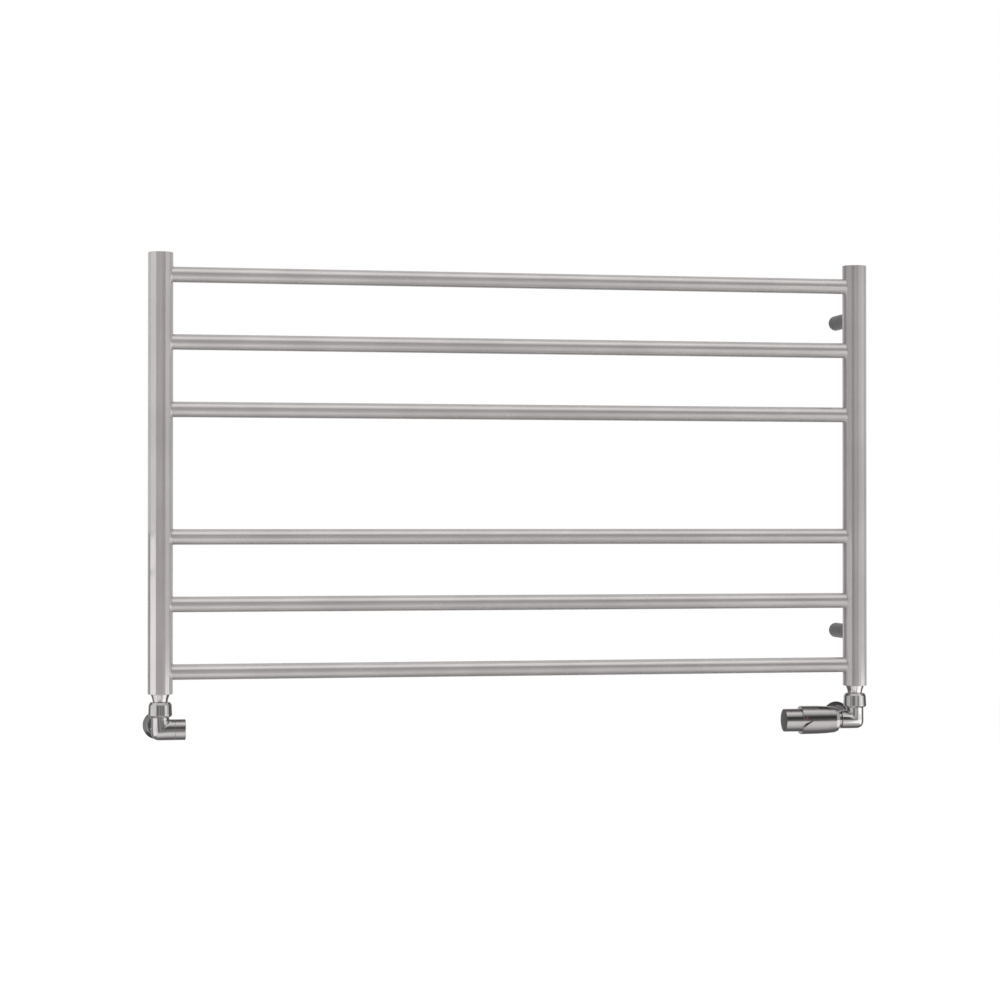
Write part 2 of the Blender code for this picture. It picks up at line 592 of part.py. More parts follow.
def build():
    """Make the whole towel rail."""
    clear_scene()
    steel = surface("stainless_steel", (0.62, 0.60, 0.59), 0.18, 1.0)
    chrome = surface("chrome_plate", (0.70, 0.69, 0.68), 0.08, 1.0)
    dark = surface("dark_satin_steel", (0.10, 0.10, 0.10), 0.40, 0.6)
    brass = surface("brass", (0.72, 0.55, 0.28), 0.30, 1.0)
    rubber = surface("black_rubber", (0.02, 0.02, 0.02), 0.60, 0.0)
    sprung = surface("spring_steel", (0.45, 0.45, 0.46), 0.30, 1.0)
    plastic = surface("dark_plastic", (0.07, 0.07, 0.065), 0.35, 0.0)
    red = surface("red_enamel", (0.55, 0.05, 0.05), 0.35, 0.0)

    ladder = assembly("towel_rail", (0, 0, 0))
    make_rails(ladder, steel)
    for label, side in (("left", -1), ("right", 1)):
        x = side * UPRIGHT_X
        upright_axis = assembly(f"{label}_upright_axis", (x, -WALL_DISTANCE, 0))
        upright_axis.parent = ladder
        make_upright(label, -side, upright_axis, steel)
        make_upright_ends(label, upright_axis, steel)
        make_air_vent(label, x, ladder, chrome)
        for level, height in (("upper", BRACKET_HEIGHT), ("lower", -BRACKET_HEIGHT)):
            make_bracket(f"{level}_{label}", x, height, ladder, dark, steel)
        valve_axis = assembly(f"{label}_valve_axes", (x, -WALL_DISTANCE, VALVE_Z))
        valve_axis.parent = ladder
        make_tail_set(label, valve_axis, chrome, rubber)
        make_wall_pipe(label, valve_axis, chrome, brass, dark)
        if label == "left":
            make_lockshield(valve_axis, chrome, brass, rubber)
        else:
            make_thermostat(valve_axis, chrome, brass, sprung, plastic, rubber, red)


build()
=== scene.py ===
"""Looks of a wall-hung ladder towel rail with a lockshield and a thermostatic corner valve.

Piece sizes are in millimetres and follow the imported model. Places come from its nodes and are in
metres, and so is the studio around the rail.
"""
import json
import math

import bmesh
import bpy
from mathutils import Matrix, Vector

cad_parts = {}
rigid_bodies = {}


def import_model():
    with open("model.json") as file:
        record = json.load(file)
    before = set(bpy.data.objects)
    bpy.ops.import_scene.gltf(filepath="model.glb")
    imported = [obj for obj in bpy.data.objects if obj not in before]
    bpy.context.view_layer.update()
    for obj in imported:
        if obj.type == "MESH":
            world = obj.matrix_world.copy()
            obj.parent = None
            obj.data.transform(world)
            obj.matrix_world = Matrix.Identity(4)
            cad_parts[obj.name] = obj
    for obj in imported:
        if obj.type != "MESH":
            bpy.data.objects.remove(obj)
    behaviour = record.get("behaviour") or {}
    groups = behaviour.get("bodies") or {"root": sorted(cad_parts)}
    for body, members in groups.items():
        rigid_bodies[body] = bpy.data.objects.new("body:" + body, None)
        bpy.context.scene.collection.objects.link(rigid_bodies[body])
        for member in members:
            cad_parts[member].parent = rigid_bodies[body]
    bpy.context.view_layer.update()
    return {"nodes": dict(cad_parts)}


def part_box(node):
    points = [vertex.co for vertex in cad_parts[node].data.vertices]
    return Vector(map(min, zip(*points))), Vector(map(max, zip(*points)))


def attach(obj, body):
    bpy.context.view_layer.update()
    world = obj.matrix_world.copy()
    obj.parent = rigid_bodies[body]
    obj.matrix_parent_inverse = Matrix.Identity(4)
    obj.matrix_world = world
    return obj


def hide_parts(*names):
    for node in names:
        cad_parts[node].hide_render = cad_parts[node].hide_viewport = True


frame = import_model()

MM = 0.001
X_AXIS = Vector((1, 0, 0))
Y_AXIS = Vector((0, 1, 0))
Z_AXIS = Vector((0, 0, 1))

# Sides of round pieces, steps of a rounded corner, and the angle from which an edge is sharp.
TUBE_SIDES = 96
ROUND_SIDES = 64
SMALL_SIDES = 32
HEAD_SIDES = 128
CORNER_STEPS = 5
SMOOTH_ANGLE = math.radians(32)
# Beside a rounded corner, an edge longer than LONG_EDGE gets a point SUPPORT away from the arc.
SUPPORT = 0.2
LONG_EDGE = 3.0
MERGE_DISTANCE = 0.001

# Uprights and rails.
UPRIGHT_RADIUS = 20.0
UPRIGHT_BORE = 18.5
LID_THICKNESS = 6.0
BOSS_DEPTH = 15.0
TAIL_HOLE = 10.9
END_EDGE = 0.8
RAIL_NUMBERS = range(1, 7)
RAIL_RADIUS = 12.5
RAIL_BORE = 11.3

# Beads where a tube meets an upright: width, steps across, and how far the root is sunk.
WELD = 1.3
WELD_STEPS = 5
WELD_ROOT = 0.6

# Outlines are (radius, distance along the axis), with a third value where the corner is rounded.
# Round holes are (radius, start, end), and the ends of sockets and slots are (start, end).

# Brackets: the post from the upright's axis, the foot from the wall, the grub screw from the
# post's axis.
POST_RADIUS = 12.5
POST_BORE = 9.7
POST_START = 15.2
FOOT_RADIUS = 9.4
FOOT_HOLE = 2.75
GRUB_HOLE = (2.3, 8, 15)
GRUB_OUTLINE = [(0, 9.5), (2.0, 9.5), (2.0, 12.3, 0.2), (0, 12.3)]
GRUB_KEY = 2.0
GRUB_SOCKET = (10.5, 13.5)

# Air vents, measured from the upright's axis.
VENT_RADIUS = 6.0
VENT_OUTLINE = [
    (0, 15), (VENT_RADIUS, 15), (VENT_RADIUS, 27.4, 0.3), (5.4, 27.8), (5.4, 28.2),
    (6.0, 28.6, 0.3), (VENT_RADIUS, 30, 0.6), (2.9, 30, 0.2), (2.9, 24), (0, 24),
]
VENT_OUTLET = (0.9, 2, 8)
VENT_OUTLET_REACH = 25.5
VENT_SCREW = [(0, 23.5), (1.0, 23.5), (2.6, 25.0), (2.6, 32, 0.4), (0, 32)]
SCREW_SLOT = [(-4, -0.5), (4, -0.5), (4, 0.5), (-4, 0.5)]
SCREW_SLOT_ENDS = (30.6, 33)

# Valve bodies: the column under the upright, its bend into the side barrel, and threads. The
# column ends COLUMN_FOOT above the barrel; a crest lies between two shares of the pitch.
COLUMN_RADIUS = 14.4
COLUMN_TOP = 20.2
COLUMN_THREAD = 13.1
MOUTH_TOP = 33.4
OUTER_BEND = 12.0
INNER_BEND = 0.9
BEND_FADE = 1.5
BEND_STEPS = 8
LEG_STEPS = 5
COLUMN_FOOT = 1.2
THREAD_PITCH = 1.4
THREAD_DEPTH = 0.55
THREAD_CREST = (0.4, 0.6)
LOCKSHIELD_BARREL = 16.7
THERMOSTAT_BARREL = 15.0

# Union under the upright, measured up from the valve's centre.
COLLAR_OUTLINE = [
    (10.6, 44.6), (11.9, 44.6, 0.3), (12.6, 49.0, 1.5), (15.2, 56.7, 0.3), (10.6, 56.7),
]
UNION_NUT_OUTLINE = [
    (13.4, 20.9), (16.8, 20.9, 0.4), (19.2, 23.2, 1.0), (18.3, 40.2, 0.8), (15.8, 44.2, 0.7),
    (11.0, 44.2), (11.0, 38.0), (13.4, 38.0),
]
TAIL_OUTLINE = [
    (7.0, 29.5), (9.2, 29.5), (9.2, 33.7), (12.7, 33.7), (12.7, 37.7), (10.5, 37.7),
    (10.5, 67.0), (7.0, 67.0),
]

# Wall side, measured back from the valve's centre; the rosette from the wall.
BRANCH_RADIUS = 13.0
BRANCH_THREAD = 10.5
HEX_NUT_FLATS = 24.9
HEX_NUT_ENDS = (17.5, 34.0)
HEX_NUT_CHAMFER = [
    (0, 17.5), (12.9, 17.5), (14.5, 18.6), (14.5, 31.4), (12.2, 34.0), (0, 34.0),
]
HEX_NUT_BORE = [(0, 16.0), (10.8, 16.0), (10.8, 27.8), (7.8, 31.2), (7.8, 36), (0, 36)]
PIPE_RADIUS = 7.5
PIPE_BORE = 6.5
PIPE_START = 15.0
ROSETTE_OUTLINE = [
    (7.8, 0), (9.0, 0), (12.6, -6.8), (21.6, -1.6), (22.0, 0), (23.0, 0), (23.0, -0.8, 0.3),
    (17.4, -8.6, 1.2), (15.6, -10.0, 0.8), (7.8, -10.0, 0.3),
]

# Lockshield side, measured inwards from the valve's centre.
CAP_THREAD = 12.5
GLAND_OUTLINE = [
    (3.3, 26.4), (3.3, 28.0), (5.6, 28.0), (5.6, 31.0, 0.2), (9.7, 31.0, 0.3), (9.7, 17.2),
    (5.8, 17.2), (5.8, 26.4),
]
SPINDLE_OUTLINE = [
    (0, 14.0), (2.9, 14.0), (2.9, 23.7), (5.5, 23.7), (5.5, 26.1), (3.15, 26.1),
    (3.15, 35.0, 0.3), (0, 35.0),
]
SPINDLE_KEY = 4.0
SPINDLE_SOCKET = (31.0, 36.0)
CAP_OUTLINE = [
    (0, 36.8), (12.8, 36.8), (12.8, 23.3), (16.7, 23.3, 0.2), (16.7, 40.0, 0.9), (0, 40.0),
]

# Thermostatic head, measured inwards from the valve's centre; the mark from the head's axis.
CARRIER_OUTLINE = [
    (9.7, 26.0), (13.4, 26.0, 0.5), (13.4, 36.0), (14.2, 37.0), (14.2, 74.0), (12.8, 74.0),
    (12.8, 46.0), (9.7, 44.0),
]
SLEEVE_OUTLINE = [
    (13.7, 31.4), (19.4, 31.4, 2.0), (21.6, 38.0, 6.0), (22.8, 51.0, 20.0), (23.5, 68.0, 30.0),
    (23.7, 96.2, 1.2), (19.22, 96.2, 0.3), (19.22, 68), (15.0, 62), (15.0, 35.0), (13.7, 35.0),
]
# The notch is a prism of (x, z) points, cut into the sleeve's front between two depths.
NOTCH_OUTLINE = [
    (-79.7, -0.5), (-98.2, 1.0), (-98.2, -21.0), (-96.2, -17.0), (-93.4, -11.0), (-89.0, -6.5),
]
NOTCH_ENDS = (12.0, 28.0)
MARK_POCKET = (2.3, 21.8, 27)
MARK_OUTLINE = [(0, 22.1), (2.0, 22.1), (2.0, 23.3, 0.35), (0, 23.3)]
DIAL_OUTLINE = [
    (16.6, 70), (19.1, 70), (19.1, 124, 0.5), (18.3, 124, 0.2), (18.3, 121), (16.6, 121),
]
END_CAP_OUTLINE = [
    (0, 121.3), (18.0, 121.3), (18.0, 124.0, 0.5), (16.0, 124.7, 2.0), (9.0, 125.3, 8.0),
    (0, 125.5),
]

# Noise scales of a metal's slow tone changes, polishing lines, smears and waviness.
TONE_SCALE = 9.0
LINE_SCALE = 700.0
SMEAR_SCALE = 38.0
WAVE_SCALE = 26.0
# Worn lines: their largest share and their tone against the darker colour. Smears: their share
# of the range of roughness.
WORN_SHARE = 0.35
WORN_TONE = 0.82
SMEAR_SHARE = 0.8
# Strengths of bumps, and their heights in metres.
WAVE_STRENGTH = 0.035
GRAIN_STRENGTH = 0.03
CHROME_GRAIN = 0.015
WAVE_HEIGHT = 0.001
GRAIN_HEIGHT = 0.0002
ENAMEL_HEIGHT = 0.0001

# Colours of the metals, light and dark, and their ranges of roughness. The tubes' steel counts as
# metal by STEEL_SHARE.
STEEL_TONES = ((0.66, 0.635, 0.625), (0.60, 0.575, 0.567))
STEEL_SHARE = 0.70
CHROME_TONES = ((0.72, 0.70, 0.695), (0.66, 0.64, 0.64))
# Rosettes: chrome whose colour is darkened to paint the shade they sit in behind the valves.
PAINTED_SHADE_ROSETTE_TONES = ((0.30, 0.30, 0.305), (0.24, 0.24, 0.245))
# Bracket posts: steel painted dark grey for the shade between the wall and the uprights.
PAINTED_SHADE_POST_TONES = ((0.175, 0.175, 0.178), (0.14, 0.14, 0.143))
BRASS_TONES = ((0.78, 0.60, 0.30), (0.66, 0.47, 0.22))
SPRING_TONES = ((0.52, 0.52, 0.53), (0.40, 0.40, 0.42))
MIRROR_ROUGH = (0.05, 0.09)
RAIL_ROUGH = (0.15, 0.23)
SATIN_ROUGH = (0.20, 0.30)
DULL_ROUGH = (0.22, 0.34)
# Stretch of the polishing lines along a rail and along an upright.
ALONG_RAIL = (0.02, 1, 1)
ALONG_UPRIGHT = (1, 1, 0.02)

# Studio: floor, backdrop and camera.
BLACK = (0, 0, 0)
WHITE = (1.0, 1.0, 1.0)
PANEL_WHITE = (1.0, 0.985, 0.98)
SKY = 1.2
FLOOR_HEIGHT = -1.05
FLOOR_REACH = 9.0
FLOOR_DARK = (0.84, 0.84, 0.84)
FLOOR_LIGHT = (0.87, 0.87, 0.87)
CAMERA_PLACE = (-0.8027, -4.16, -0.0765)
CAMERA_YAW = math.radians(-10.807)
CAMERA_PITCH = math.radians(90.477)
CAMERA_LENS = 90.81
CAMERA_FAR = 60.0
SENSOR = 36.0

# Bright panels of the world. Each is a product of spans (axis, from, to, level at from, level at
# to) of a ray's direction; the levels are 0 and 1 where none are given.
WORLD_PANELS = (
    # left
    (("x", -0.62, -0.76), ("y", 0.34, 0.12), ("z", 0.002, -0.012, 0.27, 0.52)),
    # right
    (("x", 0.58, 0.76), ("y", 0.20, -0.10), ("z", -0.056, -0.060, 0.52, 1.2)),
    # top
    (("z", 0.40, 1.14), ("y", 0.12, -0.15, 0.18, 1.0)),
    # faint light from the whole rear half
    (("y", 0.0, 0.5), ("x", -0.3, 0.9, 0.08, 0.16)),
    # front
    (
        ("x", -0.45, -0.15, 0.2, 1.0), ("x", 0.10, 0.30, 0.24, 0.13),
        ("z", 0.12, 0.25, 1.0, 0.4), ("y", 0.2, -0.1),
    ),
    # rear
    (("y", 0.66, 0.90, 0.0, 0.50),),
)
# The low panel brightens downwards from LOW_PANEL_TOP. The height at which it is fully bright and
# its overall share change from left to right.
LOW_PANEL = (("y", 0.30, -0.85, 0.18, 1.0),)
LOW_PANEL_TOP = 0.12
LOW_PANEL_REACH = (0.10, 0.27, -0.80, -0.30)
LOW_PANEL_SHARES = ((0.07, 0.19, 0.92, 0.38), (0.225, 0.295, 0.0, 0.42))

# Lights aimed at one point: name, place, size and radiance.
AIM_AT = (0, 0, 0)
SOFT_LIGHTS = (
    ("key_light", (-1.6, -2.6, 2.4), (1.8, 1.8), 2.4),
    ("fill_light", (2.2, -2.0, 1.2), (1.6, 1.6), 1.0),
)
RAIL_PANELS = (
    ("rail_panel_top", (1.2, -3.95, 4.6), (10.0, 4.2), 0.30),
    ("rail_panel_back", (0, 2.5, 4.3), (14.0, 3.6), 0.35),
)
# Panels at the left of the left upright: name, bottom, top, rear edge and radiance.
LEFT_PANEL_ASIDE = 0.82
LEFT_PANEL_FRONT = 0.94
LEFT_PANELS = (
    ("left_panel_high", -0.10, 1.10, 1.10, 0.35),
    ("left_panel_mid", -0.17, -0.105, 0.20, 0.58),
    ("left_panel_low", -1.20, -0.18, 0.20, 0.58),
)
# Standing panels around an upright and its valve: group, azimuths from and to, and radiance.
PANEL_DISTANCE = 1.5
PANEL_HEIGHTS = (-1.7, 1.5)
STANDING_PANELS = (
    ("left", (-46, -18), 0.14),
    ("left", (96, 150), 0.28),
    ("right", (22, 40), 0.30),
    ("right", (96, 150), 0.30),
    ("left_valve", (-120, -38), 0.50),
    ("left_valve", (-38, -8), 0.12),
    ("left_valve", (8, 38), 0.12),
    ("left_valve", (40, 70), 0.40),
    ("right_valve", (-116, -66), 0.30),
    ("right_valve", (-58, -18), 0.16),
    ("right_valve", (-14, 11), 0.30),
    ("right_valve", (22, 42), 0.60),
    ("right_valve", (42, 68), 0.60),
)
# Pieces in none of the groups: brackets, the thermostatic head and the floor.
UNGROUPED = ("upper_", "lower_", "head_", "dial_", "floor")


def middle(node):
    """Centre of a CAD node's box, in metres."""
    low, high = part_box(node)
    return (low + high) / 2


def rounded(corners):
    """Return an outline in which each corner with a third value is rounded to that radius.

    A point just outside the arc on each long edge keeps the shading flat along that edge.
    """
    points = []
    for index, corner in enumerate(corners):
        here = Vector(corner[:2])
        if len(corner) == 2:
            points.append(tuple(here))
            continue
        radius = corner[2]
        to_before = Vector(corners[index - 1][:2]) - here
        to_after = Vector(corners[(index + 1) % len(corners)][:2]) - here
        before = to_before.normalized()
        after = to_after.normalized()
        half_angle = before.angle(after) / 2
        centre = here + (before + after).normalized() * radius / math.sin(half_angle)
        setback = radius / math.tan(half_angle)
        first = here + before * setback - centre
        last = here + after * setback - centre
        start = math.atan2(first.y, first.x)
        sweep = math.remainder(math.atan2(last.y, last.x) - start, math.tau)
        if to_before.length > LONG_EDGE:
            points.append(tuple(here + before * (setback + SUPPORT)))
        for step in range(CORNER_STEPS + 1):
            angle = start + sweep * step / CORNER_STEPS
            arc_x = centre.x + radius * math.cos(angle)
            arc_y = centre.y + radius * math.sin(angle)
            points.append((arc_x, arc_y))
        if to_after.length > LONG_EDGE:
            points.append(tuple(here + after * (setback + SUPPORT)))
    return points


def bridge(mesh, lower, upper):
    """Fill the band between two rings; a ring of one vertex is a pole."""
    if len(lower) == 1 and len(upper) == 1:
        return
    count = max(len(lower), len(upper))
    for index in range(count):
        following = (index + 1) % count
        if len(lower) == 1:
            mesh.faces.new((lower[0], upper[following], upper[index]))
        elif len(upper) == 1:
            mesh.faces.new((lower[index], lower[following], upper[0]))
        else:
            mesh.faces.new((lower[index], lower[following], upper[following], upper[index]))


def turned(corners, sides=ROUND_SIDES):
    """Spin a closed outline of (radius, height) corners about local Z."""
    mesh = bmesh.new()
    angles = [math.tau * step / sides for step in range(sides)]
    rings = []
    for radius, height in rounded(corners):
        if radius == 0:
            rings.append([mesh.verts.new((0, 0, height))])
            continue
        circle = [(radius * math.cos(a), radius * math.sin(a), height) for a in angles]
        rings.append([mesh.verts.new(point) for point in circle])
    for index, ring in enumerate(rings):
        bridge(mesh, ring, rings[(index + 1) % len(rings)])
    bmesh.ops.recalc_face_normals(mesh, faces=mesh.faces[:])
    return mesh


def rod(radius, low, high):
    """Thin round bar along local Z, used to cut a hole."""
    return turned([(0, low), (radius, low), (radius, high), (0, high)], SMALL_SIDES)


def prism(points, low, high):
    """Extrude a closed polygon of (x, y) points from low to high along local Z."""
    mesh = bmesh.new()
    bottom = [mesh.verts.new((x, y, low)) for x, y in points]
    top = [mesh.verts.new((x, y, high)) for x, y in points]
    bridge(mesh, bottom, top)
    mesh.faces.new(bottom)
    mesh.faces.new(top)
    bmesh.ops.recalc_face_normals(mesh, faces=mesh.faces[:])
    return mesh


def hexagon(across_flats):
    """Return the corners of a hexagon."""
    corner = across_flats / math.sqrt(3)
    angles = [math.tau * k / 6 for k in range(6)]
    return [(corner * math.cos(a), corner * math.sin(a)) for a in angles]


def place(mesh, origin, direction):
    """Turn a mesh built along local Z to direction and move it to origin, given in metres."""
    turn = Z_AXIS.rotation_difference(Vector(direction)).to_matrix().to_4x4()
    whole = Matrix.Translation(origin) @ turn @ Matrix.Scale(MM, 4)
    bmesh.ops.transform(mesh, matrix=whole, verts=mesh.verts[:])


def solid(name, mesh, origin=(0, 0, 0), direction=Z_AXIS):
    """Add an object whose place is in its vertices."""
    place(mesh, origin, direction)
    data = bpy.data.meshes.new(name)
    mesh.to_mesh(data)
    mesh.free()
    made = bpy.data.objects.new(name, data)
    bpy.context.scene.collection.objects.link(made)
    return made


def combine(target, operation, mesh, origin, direction=Z_AXIS):
    """Cut another solid away from the target, or keep only what both share."""
    helper = solid("helper", mesh, origin, direction)
    step = target.modifiers.new("step", "BOOLEAN")
    step.operation = operation
    step.solver = "EXACT"
    step.object = helper
    graph = bpy.context.evaluated_depsgraph_get()
    result = bpy.data.meshes.new_from_object(target.evaluated_get(graph))
    target.modifiers.clear()
    old = target.data
    name = old.name
    target.data = result
    bpy.data.meshes.remove(old)
    result.name = name
    bpy.data.objects.remove(helper)


def finish_piece(made, look, body="frame", stands_for=()):
    """Shade, paint and attach a piece."""
    made.data.materials.clear()
    made.data.materials.append(look)
    made.data.shade_smooth()
    made.data.set_sharp_from_angle(angle=SMOOTH_ANGLE)
    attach(made, body)
    if stands_for:
        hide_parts(*stands_for)
    return made


def turned_piece(
    name, corners, origin, direction, look, body="frame", stands_for=(), sides=ROUND_SIDES
):
    """Add a turned piece in one call."""
    made = solid(name, turned(corners, sides), origin, direction)
    return finish_piece(made, look, body, stands_for)


# ---------------------------------------------------------------- materials


class Nodes:
    """Small helper that adds and links shader nodes in one material or world."""

    def __init__(self, tree):
        self.tree = tree

    def add(self, kind, inputs=(), **settings):
        """Add a node, set its properties, and fill or link its inputs by name or number."""
        node = self.tree.nodes.new(kind)
        for key, value in settings.items():
            setattr(node, key, value)
        for key, value in dict(inputs).items():
            if isinstance(value, bpy.types.NodeSocket):
                self.tree.links.new(value, node.inputs[key])
            else:
                node.inputs[key].default_value = value
        return node

    def math(self, operation, first, second):
        """Return the result of one math node."""
        return self.add("ShaderNodeMath", {0: first, 1: second}, operation=operation).outputs[0]

    def span(self, value, low, high, to_low=0.0, to_high=1.0):
        """Map a value smoothly from one range to another."""
        inputs = {"Value": value, "From Min": low, "From Max": high}
        inputs.update({"To Min": to_low, "To Max": to_high})
        return self.add("ShaderNodeMapRange", inputs, interpolation_type="SMOOTHSTEP").outputs[0]

    def noise(self, where, scale, detail, stretch=(1, 1, 1), distortion=0.0):
        """Return a noise value; stretch multiplies the coordinates axis by axis."""
        moved = self.add("ShaderNodeMapping", {"Vector": where, "Scale": stretch}).outputs[0]
        inputs = {"Vector": moved, "Scale": scale, "Detail": detail, "Distortion": distortion}
        return self.add("ShaderNodeTexNoise", inputs).outputs[0]

    def blend(self, share, first, second):
        """Return a mix of two colours."""
        node = self.add("ShaderNodeMix", {0: share}, data_type="RGBA")
        for socket, value in ((node.inputs[6], first), (node.inputs[7], second)):
            if isinstance(value, bpy.types.NodeSocket):
                self.tree.links.new(value, socket)
            else:
                socket.default_value = (*value, 1.0)
        return node.outputs[2]

    def bump(self, height, strength, distance, under=None):
        """Return a bumped normal."""
        inputs = {"Height": height, "Strength": strength, "Distance": distance}
        if under is not None:
            inputs["Normal"] = under
        return self.add("ShaderNodeBump", inputs).outputs[0]


def new_material(name, **uniform):
    """Return a material's node helper, its Principled shader and object coordinates."""
    made = bpy.data.materials.new(name)
    made.use_nodes = True
    nodes = Nodes(made.node_tree)
    shader = made.node_tree.nodes["Principled BSDF"]
    for socket, value in uniform.items():
        shader.inputs[socket.replace("_", " ")].default_value = value
    where = nodes.add("ShaderNodeTexCoord").outputs["Object"]
    return made, nodes, shader, where


def metal(name, tones, rough, metallic=1.0, grain=(1, 1, 1), grain_strength=GRAIN_STRENGTH):
    """Metal with slow tone changes, fine polishing lines, smears and faint waviness."""
    made, nodes, shader, where = new_material(name, Metallic=metallic)
    light, dark = tones
    slow = nodes.noise(where, TONE_SCALE, 4.0)
    lines = nodes.noise(where, LINE_SCALE, 4.0, grain)
    smears = nodes.span(nodes.noise(where, SMEAR_SCALE, 5.0, distortion=0.8), 0.45, 0.75)
    tone = nodes.blend(nodes.span(slow, 0.35, 0.65), light, dark)
    worn_share = nodes.span(lines, 0.3, 0.8, 0.0, WORN_SHARE)
    worn = nodes.blend(worn_share, tone, [value * WORN_TONE for value in dark])
    nodes.tree.links.new(worn, shader.inputs["Base Color"])
    low, high = rough
    fine = nodes.span(lines, 0.3, 0.7, low, high)
    total = nodes.math("MULTIPLY_ADD", smears, (high - low) * SMEAR_SHARE)
    nodes.tree.links.new(fine, total.node.inputs[2])
    nodes.tree.links.new(total, shader.inputs["Roughness"])
    wave = nodes.bump(nodes.noise(where, WAVE_SCALE, 2.0), WAVE_STRENGTH, WAVE_HEIGHT)
    grooves = nodes.bump(lines, grain_strength, GRAIN_HEIGHT, wave)
    nodes.tree.links.new(grooves, shader.inputs["Normal"])
    return made


def rubber_look():
    """Black moulded rubber."""
    made, nodes, shader, where = new_material("black_rubber_look", Specular_IOR_Level=0.35)
    speckle = nodes.noise(where, 900.0, 4.0)
    colour = nodes.blend(speckle, (0.012, 0.012, 0.012), (0.035, 0.034, 0.033))
    nodes.tree.links.new(colour, shader.inputs["Base Color"])
    nodes.tree.links.new(nodes.span(speckle, 0.3, 0.7, 0.55, 0.75), shader.inputs["Roughness"])
    nodes.tree.links.new(nodes.bump(speckle, 0.25, GRAIN_HEIGHT), shader.inputs["Normal"])
    return made


def plastic_look():
    """Dark olive-grey moulded plastic with a fine spark-eroded texture."""
    made, nodes, shader, where = new_material("dark_plastic_look", IOR=1.48)
    grain = nodes.noise(where, 1400.0, 3.0)
    cloud = nodes.noise(where, 60.0, 3.0)
    colour = nodes.blend(cloud, (0.040, 0.042, 0.036), (0.066, 0.068, 0.058))
    nodes.tree.links.new(colour, shader.inputs["Base Color"])
    nodes.tree.links.new(nodes.span(grain, 0.3, 0.7, 0.34, 0.5), shader.inputs["Roughness"])
    nodes.tree.links.new(nodes.bump(grain, 0.2, GRAIN_HEIGHT), shader.inputs["Normal"])
    return made


def enamel_look():
    """Red stove enamel of the index mark."""
    coat = {"Coat_Weight": 0.5, "Coat_Roughness": 0.1}
    made, nodes, shader, where = new_material("red_enamel_look", **coat)
    cloud = nodes.noise(where, 400.0, 3.0)
    colour = nodes.blend(cloud, (0.14, 0.012, 0.022), (0.20, 0.018, 0.032))
    nodes.tree.links.new(colour, shader.inputs["Base Color"])
    nodes.tree.links.new(nodes.span(cloud, 0.3, 0.7, 0.25, 0.4), shader.inputs["Roughness"])
    nodes.tree.links.new(nodes.bump(cloud, 0.1, ENAMEL_HEIGHT), shader.inputs["Normal"])
    return made


rail_steel = metal("polished_steel_rail", STEEL_TONES, RAIL_ROUGH, STEEL_SHARE, ALONG_RAIL)
upright_steel = metal(
    "polished_steel_upright", STEEL_TONES, MIRROR_ROUGH, STEEL_SHARE, ALONG_UPRIGHT
)
chrome = metal("chrome_plate_look", CHROME_TONES, MIRROR_ROUGH, grain_strength=CHROME_GRAIN)
# Rosette metal: its dark colour is painted shade.
painted_shade_rosette_metal = metal("dark_satin_steel_look", PAINTED_SHADE_ROSETTE_TONES, SATIN_ROUGH)
# Post metal: its dark grey is painted shade, on the posts and their beads.
painted_shade_post_metal = metal("dark_post_steel_look", PAINTED_SHADE_POST_TONES, SATIN_ROUGH)
brass = metal("brass_look", BRASS_TONES, DULL_ROUGH)
sprung = metal("spring_steel_look", SPRING_TONES, DULL_ROUGH)
rubber = rubber_look()
plastic = plastic_look()
enamel = enamel_look()

KEPT_LOOKS = {
    "left_tail_seal": rubber, "right_tail_seal": rubber, "lockshield_seal": rubber,
    "valve_plunger": rubber, "left_olive": brass, "right_olive": brass, "lockshield_cone": brass,
    "valve_insert": brass, "sensor_capsule": brass, "return_spring": sprung,
}

# ---------------------------------------------------------------- ladder frame


def weld_bead(name, axis_point, direction, radius, look):
    """Polished concave bead where a round tube meets the upright standing on axis_point."""
    across = Z_AXIS.cross(Vector(direction))
    mesh = bmesh.new()

    def on_joint(around, size, inset=0.0):
        """Point on the upright's surface at this distance from the tube's axis."""
        side = size * math.sin(around)
        out = math.sqrt(UPRIGHT_RADIUS**2 - side**2) - inset
        return Vector(direction) * out + across * side + Z_AXIS * size * math.cos(around)

    rings = []
    for step in range(TUBE_SIDES):
        around = math.tau * step / TUBE_SIDES
        corner = on_joint(around, radius)
        start = corner + Vector(direction) * WELD
        end = on_joint(around, radius + WELD)
        ring = []
        for part in range(WELD_STEPS + 1):
            share = part / WELD_STEPS
            point = start * (1 - share) ** 2 + corner * 2 * share * (1 - share) + end * share**2
            ring.append(mesh.verts.new(point))
        ring.append(mesh.verts.new(on_joint(around, radius - WELD_ROOT, WELD_ROOT)))
        rings.append(ring)
    for index, ring in enumerate(rings):
        bridge(mesh, ring, rings[(index + 1) % len(rings)])
    bmesh.ops.recalc_face_normals(mesh, faces=mesh.faces[:])
    made = solid(name, mesh, axis_point)
    return finish_piece(made, look)


